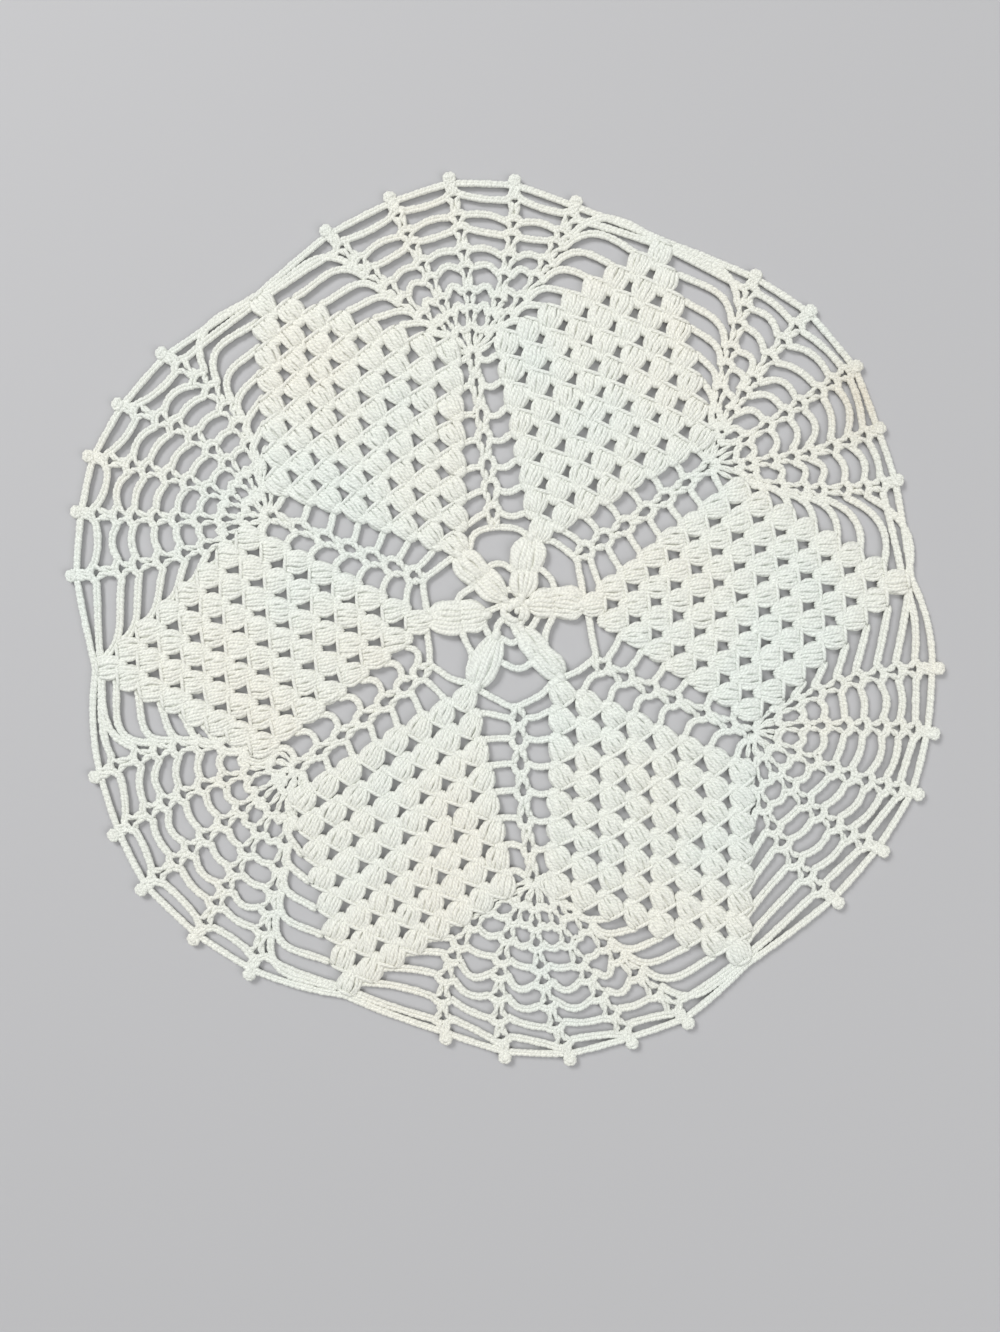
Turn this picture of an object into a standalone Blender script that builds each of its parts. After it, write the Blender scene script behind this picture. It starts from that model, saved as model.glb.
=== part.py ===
"""A round crocheted lace doily, lying flat, about 300 mm across.

It is worked in one piece from the centre out: a ring with six petals, six kite-shaped panels of puff
stitch, an openwork ladder between each two panels, a fan of chain arcs beyond each ladder, and a border
of two chains with five picots on each fan. Units are metres, +Z is up, and the doily lies on z = 0 with
its origin under the middle of its box.
"""

import math
from collections import namedtuple

import bmesh
import bpy
from mathutils import Vector

MM = 0.001

# Heights
NET_HEIGHT = 2.0 * MM
PANEL_HEIGHT = 3.4 * MM
PANEL_SHOULDER = 0.9 * MM  # the puffed panels slope in by this much above the net

# Thread and stitches
CHAIN_WIDTH = 2.3 * MM
CHAIN_HALF = CHAIN_WIDTH / 2
POST_HALF = 2.5 * MM  # half the width of a column of crossed posts
STITCHES_PER_SIDE = 8  # puff stitches along each side of a panel
PUFF_REACH = 4.6 * MM  # from a stitch's centre to the panel's edge
PUFF_NOTCH = 1.9 * MM  # how far the edge steps in between two stitches
PUFF_POINT = 3.4 * MM  # from a corner stitch's centre to the panel's point
PUFF_MARGIN = 0.9 * MM  # the net's rim around a panel

# Border
PICOT_SINK = 1.2 * MM  # the border chain's centre lies this far inside a picot's centre
BORDER_STEP = 4.6 * MM  # between the two border chains
TIP_CLEARANCE = 5.2 * MM  # from the last stitch of a panel to the border chain
PICOT_OUTLINE = (  # across, out, in millimetres from the picot's centre
    (-2.7, -0.1),
    (-2.1, 1.2),
    (-0.8, 2.1),
    (0.8, 2.1),
    (2.1, 1.2),
    (2.7, -0.1),
)

# Centre
PETAL_HALF_WIDTHS = (  # reach from the ring and half the width there, in millimetres
    (7.0, 3.0),
    (12.5, 3.9),
    (15.5, 4.1),
    (20.0, 4.4),
    (26.0, 3.2),
)
PETAL_TIP_HALF = 1.5  # mm
CENTRE_OUTER = 29.6 * MM  # the six large gaps reach this far from the ring
CENTRE_GAP_FLANKS = (  # reach in mm, and degrees clear of the petal's axis and of the panel's first stitch
    (16.5, 17.5, 0.0),
    (21.0, 14.5, 0.0),
    (25.0, 11.5, 11.0),
    (28.0, 9.5, 12.5),
)

# Ladders and fans
LADDER_FIRST = 30.0 * MM  # the nearest that a ladder's first rung comes to the ring
LADDER_POST_HALF = 2.0 * MM  # half the width of the crossed posts between a ladder's two rows of gaps
SHORTEST_GAP = 0.5  # a ladder's first cell is left out when it would be shorter than this share
FIRST_ARC = 0.42  # the first large gap of a fan, as a share of the way from its foot to its edge
ARCS_PER_SECTOR = 4
SIDE_GAPS = 5  # long gaps between a fan and each panel beside it

# Reach in millimetres from the ring's centre and angle in degrees, counter-clockwise from +X, of the
# stitches at a panel's four corners, from the upper left panel clockwise
Panel = namedtuple("Panel", "inner_r inner_a left_r left_a right_r right_a outer_r outer_a")
PANELS = (
    Panel(33.4, 128.3, 93.5, 150.6, 95.9, 104.6, 137.1, 129.0),
    Panel(33.7, 76.4, 92.9, 91.9, 88.8, 45.3, 136.0, 68.6),
    Panel(29.2, 11.6, 86.9, 30.5, 86.9, -20.4, 133.7, 5.2),
    Panel(29.2, -57.1, 92.6, -34.2, 94.4, -80.7, 138.9, -55.3),
    Panel(32.6, -114.4, 90.5, -92.2, 95.9, -139.4, 137.7, -114.3),
    Panel(33.3, -174.6, 98.9, -154.6, 95.4, -197.3, 141.1, -173.0),
)

# The five picots of the fan that follows each panel clockwise: their angles in degrees and their
# reaches in millimetres
Fan = namedtuple("Fan", "angles reaches")
FANS = (
    Fan((115.8, 107.0, 98.4, 89.9, 81.7), (147.7, 149.7, 151.8, 150.1, 142.5)),
    Fan((54.8, 45.7, 37.2, 28.8, 19.4), (145.2, 147.0, 145.6, 141.1, 142.1)),
    Fan((-6.9, -15.0, -23.2, -32.3, -40.9), (147.3, 150.4, 151.8, 150.4, 148.0)),
    Fan((-67.2, -74.8, -82.7, -91.4, -99.4), (152.5, 152.8, 153.2, 152.1, 146.6)),
    Fan((-126.3, -135.1, -144.3, -151.7, -158.6), (151.1, 155.3, 159.0, 157.3, 152.1)),
    Fan((-185.6, -193.1, -200.4, -208.2, -217.2), (153.5, 155.9, 156.6, 155.3, 151.5)),
)

# Reach and angle of each petal's tip, clockwise from the upper left
Petal = namedtuple("Petal", "reach angle")
PETALS = (
    Petal(29.2, 131.5),
    Petal(28.7, 77.0),
    Petal(24.6, 10.8),
    Petal(25.0, -50.6),
    Petal(26.5, -118.8),
    Petal(29.0, -178.2),
)

THREAD_COLOUR = (0.86, 0.84, 0.76, 1.0)
THREAD_ROUGHNESS = 0.85


def polar(reach, degrees):
    angle = math.radians(degrees)
    return Vector((reach * math.cos(angle), reach * math.sin(angle)))


def across(direction):
    """The direction turned a quarter turn to the left."""
    return Vector((-direction.y, direction.x))


def panel_corners(panel):
    """A panel's inner, left, outer and right corner stitches."""
    return (
        polar(panel.inner_r * MM, panel.inner_a),
        polar(panel.left_r * MM, panel.left_a),
        polar(panel.outer_r * MM, panel.outer_a),
        polar(panel.right_r * MM, panel.right_a),
    )


def stitch_rail(start, end):
    """The centres of the stitches along one side of a panel."""
    last = STITCHES_PER_SIDE - 1
    return [start.lerp(end, k / last) for k in range(STITCHES_PER_SIDE)]


def panel_outline(panel):
    """The panel's stepped edge: each stitch stands out, and the edge steps in before the next one."""
    inner, left, outer, right = panel_corners(panel)
    middle = (inner + outer) / 2
    corners = (inner, right, outer, left)
    points = []
    for start, end in zip(corners, corners[1:] + corners[:1]):
        along = (end - start).normalized()
        outward = -across(along)
        rail = stitch_rail(start, end)
        for this, following in zip(rail, rail[1:]):
            points.append(this + outward * PUFF_REACH)
            points.append((this + following) / 2 + outward * (PUFF_REACH - PUFF_NOTCH))
        points.append(end + outward * PUFF_REACH)
        points.append(end + (end - middle).normalized() * PUFF_POINT)
    return points


def petal_outline(petal):
    """One petal: two plump clusters in line, narrow at the ring and at the tip."""
    along = polar(1.0, petal.angle)
    side = across(along)
    stretch = petal.reach / PETALS[0].reach
    left = [(along * reach * stretch + side * half) * MM for reach, half in PETAL_HALF_WIDTHS]
    right = [(along * reach * stretch - side * half) * MM for reach, half in PETAL_HALF_WIDTHS]
    tip = along * petal.reach * MM
    cap = [tip - side * PETAL_TIP_HALF * MM, tip + side * PETAL_TIP_HALF * MM]
    return right + cap + left[::-1]


def centre_outline():
    """The ring and its six petals as one raised star."""
    points = []
    for petal in reversed(PETALS):
        points += petal_outline(petal)
    return points


def centre_gap(index):
    """The large gap between two petals, from the inner chain bar to the outer chain arc."""
    following = (index + 1) % len(PETALS)
    petal, next_petal = PETALS[index], PETALS[following]
    panel, next_panel = PANELS[index], PANELS[following]
    turn = (petal.angle - next_petal.angle) % 360
    panel_turn = (panel.inner_a - next_panel.inner_a) % 360
    rising, falling = [], []
    for reach, from_petal, from_panel in CENTRE_GAP_FLANKS:
        left = petal.angle - from_petal
        right = petal.angle - turn + from_petal
        if from_panel:
            left = min(left, panel.inner_a - from_panel)
            right = max(right, panel.inner_a - panel_turn + from_panel)
        rising.append(polar(reach * MM, left))
        falling.insert(0, polar(reach * MM, right))
    return rising + [(polar(CENTRE_OUTER, left) + polar(CENTRE_OUTER, right)) / 2] + falling


def cell(a_start, a_end, b_start, b_end, a_side, b_side, ends):
    """The open part of a cell between rail a and rail b, with the stitches around it taken off."""
    points = []
    for a, b, sign in ((a_start, b_start, 1), (a_end, b_end, -1)):
        along = ((a_end + b_end) - (a_start + b_start)).normalized()
        span = (b - a).normalized()
        shift = along * ends * sign
        points.append((a + span * a_side + shift, b - span * b_side + shift))
    (a0, b0), (a1, b1) = points
    return [a0, b0, b1, a1]


def ladder_rails(index):
    """The stitches on both sides of the ladder that follows a panel clockwise, and its middle."""
    panel, following = PANELS[index], PANELS[(index + 1) % len(PANELS)]
    inner, _, _, right = panel_corners(panel)
    next_inner, next_left, _, _ = panel_corners(following)
    left_rail = stitch_rail(inner, right)
    right_rail = stitch_rail(next_inner, next_left)
    middle_rail = [(a + b) / 2 for a, b in zip(left_rail, right_rail)]
    return left_rail, middle_rail, right_rail


def ladder_gaps(index):
    """Two rows of gaps, one on each side of the ladder's crossed posts."""
    gaps = []
    left_rail, middle_rail, right_rail = ladder_rails(index)
    first, second = middle_rail[0].length, middle_rail[1].length
    start = max(0.0, (LADDER_FIRST - first) / (second - first))
    for k in range(STITCHES_PER_SIDE - 1):
        low = start if k == 0 else 0.0
        if low > SHORTEST_GAP:
            continue
        for rail in (left_rail, right_rail):
            side, post = rail[k].lerp(rail[k + 1], low), middle_rail[k].lerp(middle_rail[k + 1], low)
            corners = side, rail[k + 1], post, middle_rail[k + 1]
            gaps.append(cell(*corners, PUFF_REACH + PUFF_MARGIN, LADDER_POST_HALF, CHAIN_HALF))
    return gaps


def border_point(fan, place, inset):
    """A point on a border chain at one of the fan's picots, inset from the picot's centre."""
    return polar(fan.reaches[place] * MM - inset, fan.angles[place])


def fan_foot(index):
    """Where a fan's columns start, at the end of its ladder."""
    _, middle_rail, _ = ladder_rails(index)
    return middle_rail[-1]


def fan_gaps(index):
    """The gaps between a fan's five columns, in rounds of chain arcs."""
    fan, foot = FANS[index], fan_foot(index)
    ends = [border_point(fan, k, PICOT_SINK + BORDER_STEP) for k in range(len(fan.angles))]
    steps = [FIRST_ARC + (1 - FIRST_ARC) * k / ARCS_PER_SECTOR for k in range(ARCS_PER_SECTOR + 1)]
    gaps = []
    for a, b in zip(ends, ends[1:]):
        for low, high in zip(steps, steps[1:]):
            corners = foot.lerp(a, low), foot.lerp(a, high), foot.lerp(b, low), foot.lerp(b, high)
            gaps.append(cell(*corners, POST_HALF, POST_HALF, CHAIN_HALF))
    return gaps


def side_gaps(index, place):
    """The long gaps between a fan's outer column and the stepped edge of the panel beside it."""
    fan, foot = FANS[index], fan_foot(index)
    panel = PANELS[index] if place == 0 else PANELS[(index + 1) % len(PANELS)]
    _, left, outer, right = panel_corners(panel)
    corner = right if place == 0 else left
    outward = across((outer - corner).normalized()) * (-1 if place == 0 else 1)
    rail = [stitch + outward * (PUFF_REACH + PUFF_MARGIN) for stitch in stitch_rail(corner, outer)]
    end = border_point(fan, place, PICOT_SINK + BORDER_STEP)
    last = STITCHES_PER_SIDE - 1
    gaps = []
    for k in range(last - SIDE_GAPS, last):
        low, high = foot.lerp(end, k / last), foot.lerp(end, (k + 1) / last)
        gaps.append(cell(rail[k], rail[k + 1], low, high, 0.0, POST_HALF, CHAIN_HALF))
    return gaps


def border_gaps(index):
    """The slots between the two border chains, from picot to picot."""
    fan = FANS[index]
    gaps = []
    for k in range(len(fan.angles) - 1):
        corners = (
            border_point(fan, k, PICOT_SINK + BORDER_STEP),
            border_point(fan, k, PICOT_SINK),
            border_point(fan, k + 1, PICOT_SINK + BORDER_STEP),
            border_point(fan, k + 1, PICOT_SINK),
        )
        gaps.append(cell(*corners, POST_HALF, POST_HALF, CHAIN_HALF))
    return gaps


def edge_outline():
    """The outer edge, counter-clockwise: straight border chains, thirty picots and six panel tips."""
    points = []
    for index in reversed(range(len(FANS))):
        fan = FANS[index]
        following = PANELS[(index + 1) % len(PANELS)]
        points.append(polar(following.outer_r * MM + TIP_CLEARANCE + CHAIN_HALF, following.outer_a))
        for place in reversed(range(len(fan.angles))):
            centre = border_point(fan, place, 0.0)
            out = centre.normalized()
            points += [centre + (across(out) * a + out * o) * MM for a, o in PICOT_OUTLINE]
    return points


def ring_centre():
    """Where the ring's centre lies when the middle of the doily's box is at the origin."""
    points = edge_outline()
    low = Vector((min(p.x for p in points), min(p.y for p in points)))
    high = Vector((max(p.x for p in points), max(p.y for p in points)))
    return -(low + high) / 2


def add_loop(bm, points, centre):
    """A closed loop of edges on z = 0; the points are given from the ring's centre."""
    verts = [bm.verts.new((*(p + centre), 0.0)) for p in points]
    return [bm.edges.new((a, b)) for a, b in zip(verts, verts[1:] + verts[:1])]


def fill(bm, edges):
    filled = bmesh.ops.triangle_fill(bm, edges=edges, use_beauty=True)
    return [g for g in filled["geom"] if isinstance(g, bmesh.types.BMFace)]


def all_gaps():
    gaps = [centre_gap(index) for index in range(len(PETALS))]
    for index in range(len(FANS)):
        gaps += ladder_gaps(index) + fan_gaps(index) + border_gaps(index)
        gaps += side_gaps(index, 0) + side_gaps(index, len(FANS[index].angles) - 1)
    return gaps


def doily_mesh():
    """The net is filled flat and raised, and then the puffed panels are raised above it."""
    bm = bmesh.new()
    centre = ring_centre()
    net_edges = add_loop(bm, edge_outline(), centre)
    for gap in all_gaps():
        net_edges += add_loop(bm, gap, centre)
    raised = [add_loop(bm, panel_outline(panel), centre) for panel in PANELS]
    raised.append(add_loop(bm, centre_outline(), centre))
    for loop in raised:
        net_edges += loop
    fill(bm, net_edges)
    is_panel = bm.faces.layers.int.new("panel")
    for number, loop in enumerate(raised, start=1):
        for face in fill(bm, loop):
            face[is_panel] = number
    top = bmesh.ops.extrude_face_region(bm, geom=bm.faces[:])["geom"]
    top_verts = [g for g in top if isinstance(g, bmesh.types.BMVert)]
    bmesh.ops.translate(bm, verts=top_verts, vec=(0.0, 0.0, NET_HEIGHT))
    bmesh.ops.recalc_face_normals(bm, faces=bm.faces[:])
    rise = PANEL_HEIGHT - NET_HEIGHT
    for number in range(1, len(raised) + 1):
        faces = [f for f in bm.faces if f[is_panel] == number and f.normal.z > 0.5]
        bmesh.ops.inset_region(bm, faces=faces, thickness=PANEL_SHOULDER, depth=rise)
    bmesh.ops.triangulate(bm, faces=bm.faces[:])
    mesh = bpy.data.meshes.new("doily")
    bm.to_mesh(mesh)
    bm.free()
    return mesh


def cotton():
    material = bpy.data.materials.new("cotton_thread")
    material.use_nodes = True
    shader = material.node_tree.nodes["Principled BSDF"]
    shader.inputs["Base Color"].default_value = THREAD_COLOUR
    shader.inputs["Roughness"].default_value = THREAD_ROUGHNESS
    return material


def main():
    for old in list(bpy.data.objects):
        bpy.data.objects.remove(old)
    mesh = doily_mesh()
    mesh.materials.append(cotton())
    doily = bpy.data.objects.new("doily", mesh)
    bpy.context.collection.objects.link(doily)


main()
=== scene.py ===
"""A round crocheted lace doily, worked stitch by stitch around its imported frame.

The doily is one long thread, so every piece is made of the same few lengths of it: the two lobes of a
chain stitch, the two twisted strands of a post and the strands that are drawn up into a puff. Each is
modelled once as a closed spindle, and then laid along its own short route.
"""

import math
from collections import namedtuple

import bpy
import numpy as np
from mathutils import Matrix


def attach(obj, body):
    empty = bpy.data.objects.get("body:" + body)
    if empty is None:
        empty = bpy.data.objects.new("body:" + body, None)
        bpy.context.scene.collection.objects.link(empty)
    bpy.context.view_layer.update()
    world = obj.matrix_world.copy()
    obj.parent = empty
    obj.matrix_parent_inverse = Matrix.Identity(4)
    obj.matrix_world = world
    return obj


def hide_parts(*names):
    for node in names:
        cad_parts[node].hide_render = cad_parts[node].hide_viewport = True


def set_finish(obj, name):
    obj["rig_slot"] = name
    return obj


bl_info = {
    "name": "Crocheted lace doily",
    "version": (1, 0, 0),
    "blender": (4, 5, 0),
    "location": "View3D > Sidebar > Doily",
    "description": "Works a round lace doily of puff stitch, ladders, chain fans and picots",
    "category": "Add Mesh",
}

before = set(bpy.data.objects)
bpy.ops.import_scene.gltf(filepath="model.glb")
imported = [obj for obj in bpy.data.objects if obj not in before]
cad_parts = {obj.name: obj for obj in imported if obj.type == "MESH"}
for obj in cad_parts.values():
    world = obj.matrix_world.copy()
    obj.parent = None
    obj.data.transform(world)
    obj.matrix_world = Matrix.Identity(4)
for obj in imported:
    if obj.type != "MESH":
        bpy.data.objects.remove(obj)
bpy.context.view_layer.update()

MM = 0.001
UP = np.array((0.0, 0.0, 1.0))
RING = np.array((3.261, 0.904, 0.0)) * MM  # the ring's centre, from the middle of the doily's box
SEEDS = {"centre": 11, "panels": 20, "ladders": 31, "fans": 41, "fan_stitches": 45, "border": 51}

# ------------------------------------------------------------------------------------------------------
# The pattern
# Reaches are in millimetres from the ring's centre and angles in degrees, counter-clockwise from +X.
# All tables were first set by eye. PANELS, LADDERS and FANS were then refined by a fitting program.

PUFFS_PER_SIDE = 8
RAY_SHARE = 0.35  # how much a puff of a panel points straight away from the ring
Panel = namedtuple("Panel", "inner_r inner_a left_r left_a right_r right_a outer_r outer_a")
PANELS = (  # the puffs at a panel's four corners, from the upper left panel clockwise
    Panel(31.4, 128.6, 92.9, 150.2, 93.3, 103.6, 136.7, 128.6),
    Panel(31.2, 73.0, 93.7, 91.7, 88.9, 44.0, 134.4, 68.1),
    Panel(27.0, 9.0, 87.3, 29.6, 86.7, -21.6, 131.5, 5.3),
    Panel(30.4, -57.6, 94.4, -34.1, 93.5, -80.8, 138.3, -56.2),
    Panel(32.3, -120.5, 91.8, -92.2, 95.0, -139.3, 137.4, -114.3),
    Panel(32.6, -177.1, 96.7, -153.0, 94.4, -196.7, 140.0, -172.9),
)

Ladder = namedtuple("Ladder", "shifts sides width hole ends bows")
LADDERS = (
    # The ladder that follows each panel clockwise: how far its seven stitches are pulled inwards, and its
    # start, middle and end sideways, how wide and long the stitches are, and where its rungs start and bow.
    Ladder((0.5, 2.4, 3.5, 3.6, 4.4, 3.0, 3.0), (1.0, 1.2, 1.9), 1.02, 1.49, (4.2, 4.4), (0.4, -1.4)),
    Ladder((0.4, 2.5, 3.0, 3.2, 3.8, 3.6, 3.0), (1.1, 0.5, 1.0), 1.16, 1.45, (4.4, 4.4), (0.4, -0.1)),
    Ladder((-1.2, 0.1, -0.1, 0.4, -1.2, -2.0, -0.6), (-1.0, 0.5, 3.0), 1.24, 1.0, (-3.0, 4.8), (0.7, -0.9)),
    Ladder((1.5, 4.0, 4.7, 4.9, 4.6, 3.6, 2.6), (0.9, 0.1, 0.8), 1.07, 1.47, (4.6, 5.4), (0.8, -0.1)),
    Ladder((0.8, 3.9, 4.9, 5.0, 4.6, 4.9, 5.4), (-0.8, 1.0, 1.5), 1.15, 1.45, (4.6, 2.3), (-0.2, -2.8)),
    Ladder((0.8, 2.7, 3.6, 4.7, 4.8, 4.3, 2.8), (0.5, 0.8, 0.8), 1.10, 1.47, (4.0, 4.1), (0.5, -0.2)),
)
LADDER_SPREADS = (2.3, 2.3, 2.2, 2.1, 1.9, 1.8, 1.8)  # half the width of a ladder's stitches, mm
LADDER_HOLES = (2.4, 3.9, 3.8, 3.6, 3.4, 3.2, 3.0)  # length of the holes in them, mm
LADDER_PLUMP = 1.07  # thickness of their posts
LADDER_STRAY = 0.15  # how far they stray from their places, mm
PANEL_GRIP = 3.0  # how far outside its puff's middle a rung starts, mm
RUNG_HOLD = (1.8, 0.8)  # how far its end is held in under the puff and on towards the tip, mm

# Where a fan's side arcs start on their puffs, and how they bow.
Side = namedtuple("Side", "along out bow lean")
Fan = namedtuple("Fan", "angles reaches bulges pulls rounds bows foot width hole left right")
FANS = (
    # The fan that follows each panel clockwise: its five picots, how far its columns are bowed sideways
    # and pulled outwards, the share of the way to the picot and the bow of the arcs of its eight rounds,
    # how far its foot is moved outwards and sideways, how wide and long its stitches are, and its arcs to
    # the panels.
    Fan(
        angles=(116.0, 106.5, 98.4, 89.9, 81.5),
        reaches=(147.7, 150.3, 152.4, 150.1, 144.3),
        bulges=(0.1, 0.6, -1.6, -4.0, -2.7),
        pulls=(-1.0, 1.0, 1.0, 0.0, 4.0),
        rounds=(0.140, 0.241, 0.344, 0.476, 0.581, 0.697, 0.775, 0.895),
        bows=(1.4, 3.2, 3.4, 2.4, 1.4, -0.2, 1.3, -0.6),
        foot=(0.0, 0.0),
        width=1.08,
        hole=0.94,
        left=Side(4.10, 3.90, 0.18, 0.80),
        right=Side(4.22, 0.00, 0.22, -0.50),
    ),
    Fan(
        angles=(54.7, 45.9, 36.2, 27.3, 19.6),
        reaches=(144.6, 147.3, 146.8, 142.3, 140.8),
        bulges=(1.6, 3.0, 0.0, -3.3, -5.5),
        pulls=(2.0, -3.0, 3.0, 0.5, 1.8),
        rounds=(0.155, 0.229, 0.353, 0.473, 0.566, 0.697, 0.802, 0.898),
        bows=(0.4, 2.2, 2.6, 2.8, 3.4, 1.8, 2.5, 1.0),
        foot=(-0.5, 1.0),
        width=1.00,
        hole=1.15,
        left=Side(4.10, 3.15, 0.17, 0.62),
        right=Side(4.10, -0.12, 0.23, 0.12),
    ),
    Fan(
        angles=(-6.9, -15.5, -23.7, -32.4, -41.4),
        reaches=(146.5, 149.2, 151.2, 149.8, 148.0),
        bulges=(4.8, 1.8, -2.5, -5.3, -7.7),
        pulls=(1.2, 2.5, 1.8, 1.0, 1.7),
        rounds=(0.125, 0.247, 0.359, 0.479, 0.578, 0.688, 0.790, 0.886),
        bows=(1.8, 1.8, 1.8, 0.4, 1.2, 1.8, 1.3, 0.0),
        foot=(-1.0, 1.0),
        width=1.16,
        hole=1.35,
        left=Side(5.12, 2.73, 0.01, -0.05),
        right=Side(0.12, 2.67, -0.02, 0.90),
    ),
    Fan(
        angles=(-66.8, -74.5, -82.8, -91.2, -99.2),
        reaches=(151.6, 151.6, 153.0, 151.1, 146.5),
        bulges=(-0.5, -1.8, -4.2, -6.4, -11.5),
        pulls=(-0.7, 2.2, 1.0, 0.2, 2.8),
        rounds=(0.131, 0.235, 0.341, 0.464, 0.551, 0.670, 0.793, 0.904),
        bows=(2.6, 1.4, 2.0, 1.0, 3.6, 2.8, 0.9, -0.2),
        foot=(0.0, 1.0),
        width=1.18,
        hole=1.35,
        left=Side(4.85, 2.15, 0.20, 0.60),
        right=Side(0.16, 1.76, -0.05, 0.04),
    ),
    Fan(
        angles=(-126.5, -134.8, -143.8, -151.4, -159.1),
        reaches=(152.6, 155.9, 158.4, 156.4, 153.9),
        bulges=(1.0, -0.3, -0.7, -5.0, -8.7),
        pulls=(0.0, 1.2, 0.0, 1.2, 0.0),
        rounds=(0.107, 0.235, 0.356, 0.473, 0.587, 0.685, 0.784, 0.901),
        bows=(3.2, 3.2, 2.0, 1.2, 1.2, 2.4, 1.3, -0.6),
        foot=(0.0, 0.0),
        width=1.18,
        hole=1.33,
        left=Side(4.60, 3.77, 0.24, 0.70),
        right=Side(5.97, -0.66, 0.29, -0.61),
    ),
    Fan(
        angles=(-185.3, -193.5, -200.7, -208.2, -216.8),
        reaches=(152.8, 154.7, 156.4, 154.7, 151.3),
        bulges=(3.1, 1.0, -2.8, -7.0, -8.3),
        pulls=(-0.5, 1.5, 0.5, 0.5, 1.7),
        rounds=(0.109, 0.217, 0.341, 0.455, 0.566, 0.682, 0.769, 0.889),
        bows=(3.2, 3.0, 1.0, 1.0, 1.2, 1.2, 2.3, -1.0),
        foot=(0.0, 1.0),
        width=1.18,
        hole=1.35,
        left=Side(4.64, 2.01, -0.12, -0.90),
        right=Side(5.35, 0.40, 0.24, -0.62),
    ),
)
FAN_COLUMNS = 5
FAN_SPREADS = (1.5, 1.7, 2.0, 2.3, 2.5, 2.6, 2.6, 2.6)  # half the width of a fan's V stitches, mm
FAN_HOLES = (2.6, 2.6, 2.4, 2.2, 2.0, 1.9, 1.7, 1.5)  # length of the holes in them, mm
FAN_STRAY = 0.12  # how far they stray from their places, mm
FAN_PLUMP = 0.74  # thickness of the posts in a fan's first round
FAN_PLUMP_STEP = 0.032  # and how much thicker they are in each round after it
FAN_CHAIN = 1.08  # width of the chain in a fan with stitches of the plain width
FAN_CHAIN_GROWTH = 0.9  # how much of a fan's extra width its chain has too
FAN_FOOT_OUT = 2.4  # how far past its foot a fan's columns start, mm
FAN_FOOT_STEP = 0.6  # and how far apart, mm
ARC_STRAY = 0.08  # how much the bows of like arcs differ
# How much of its side's start and bow the arc to the outermost puff keeps, left and right of each fan.
OUTER_SHARES = ((1.0, 1.0), (1.0, 1.0), (1.0, 1.0), (1.0, 1.0), (1.0, 0.6), (1.0, 1.0))

BORDER_BOW = 0.25  # the outer chain's bow from picot to picot, mm
BORDER_STEPS = 8  # the lengths that each stretch of it is made of
TIP_CHAIN = 3.4  # how far outside a panel's outer puff the inner border chain passes, mm
TIP_BORDERS = (5.2, 5.2, 6.3, 5.8, 5.6, 5.4)  # and how far the outer one does, panel by panel, mm
# The bows of both chains before and after each panel's outer puff, mm.
TIP_BOWS = ((0.3, 0.3), (0.3, 0.3), (0.2, 2.0), (0.5, 0.6), (0.6, 1.1), (1.8, 0.3))
KNOBS_OUT = (0.4, -0.4, 1.0, 0.8, 0.8, 0.4)  # how far each fan's picots stand past its columns, mm
PICOT_BASE = 1.2  # how far inside its column's end the outer chain passes a picot, mm

# A picot: its posts, and its knob, which is a ring of chain under a cap. In mm.
PICOT_POSTS = (-1.35, 0.0, 1.35)  # where its posts start beside its middle
PICOT_SINK = 1.2  # how far inside the bar below they start
PICOT_TOP = 0.4  # how far past the knob's middle they end
PICOT_TAPER = 0.75  # how much of their distance is left there
PICOT_TURNS = (1.3, 0.2)  # turns of their twist, and how much they differ
PICOT_PLUMP = 0.88
PICOT_LEVEL = 1.3
PICOT_RING = (1.3, 1.1)  # half the ring's width and length
RING_CHAIN = 0.95
RING_LEVEL = 1.45
RING_TURN = 0.6  # how far round it may start, in radians
CAP_LEVEL = 2.0
CAP_REACH = 1.9  # half the cap's width
CAP_BEND = 0.5
CAP_BEAD = (0.9, 0.7)  # half its own width and height

Petal = namedtuple("Petal", "base tip width base_share tip_share")
PETALS = (  # the puffs of the six petals round the ring, in mm from the ring's centre
    Petal((2.6, 6.0), (3.7, 16.8), 9.9, 0.26, 1.00),
    Petal((3.5, 14.6), (5.9, 28.2), 12.3, 0.76, 0.26),
    Petal((4.6, 4.8), (14.9, 4.8), 10.4, 0.28, 1.00),
    Petal((12.9, 4.9), (24.6, 4.7), 11.6, 0.82, 0.28),
    Petal((2.2, -3.6), (9.6, -14.2), 9.2, 0.26, 0.95),
    Petal((7.2, -10.6), (16.6, -21.2), 9.8, 0.84, 0.28),
    Petal((-5.9, -5.6), (-13.2, -25.0), 10.8, 0.30, 0.26),
    Petal((-8.9, 0.8), (-18.9, -0.4), 11.2, 0.28, 1.00),
    Petal((-16.7, -0.4), (-30.2, -0.6), 11.8, 0.92, 0.24),
    Petal((-2.8, 5.6), (-12.0, 14.2), 9.8, 0.24, 1.00),
    Petal((-10.5, 12.2), (-19.8, 22.2), 10.6, 0.88, 0.26),
)
PETAL_NECK = 0.5  # an end that is narrower than this share of its petal has a neck
NECK_REACH = (1.6, 3.0)  # how far the neck reaches past the end and into the petal, mm
NECK_LEVEL = 1.7  # height of its middle at the end, mm
NECK_RISE = 0.3  # and how much higher it is inside, mm
NECK_HIGH = 1.35  # half its height, mm
NECK_WIDE = 0.42  # half its width, as a share of the petal's end
NECK_EXTRA = 0.4  # and what is added to that, mm
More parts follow.
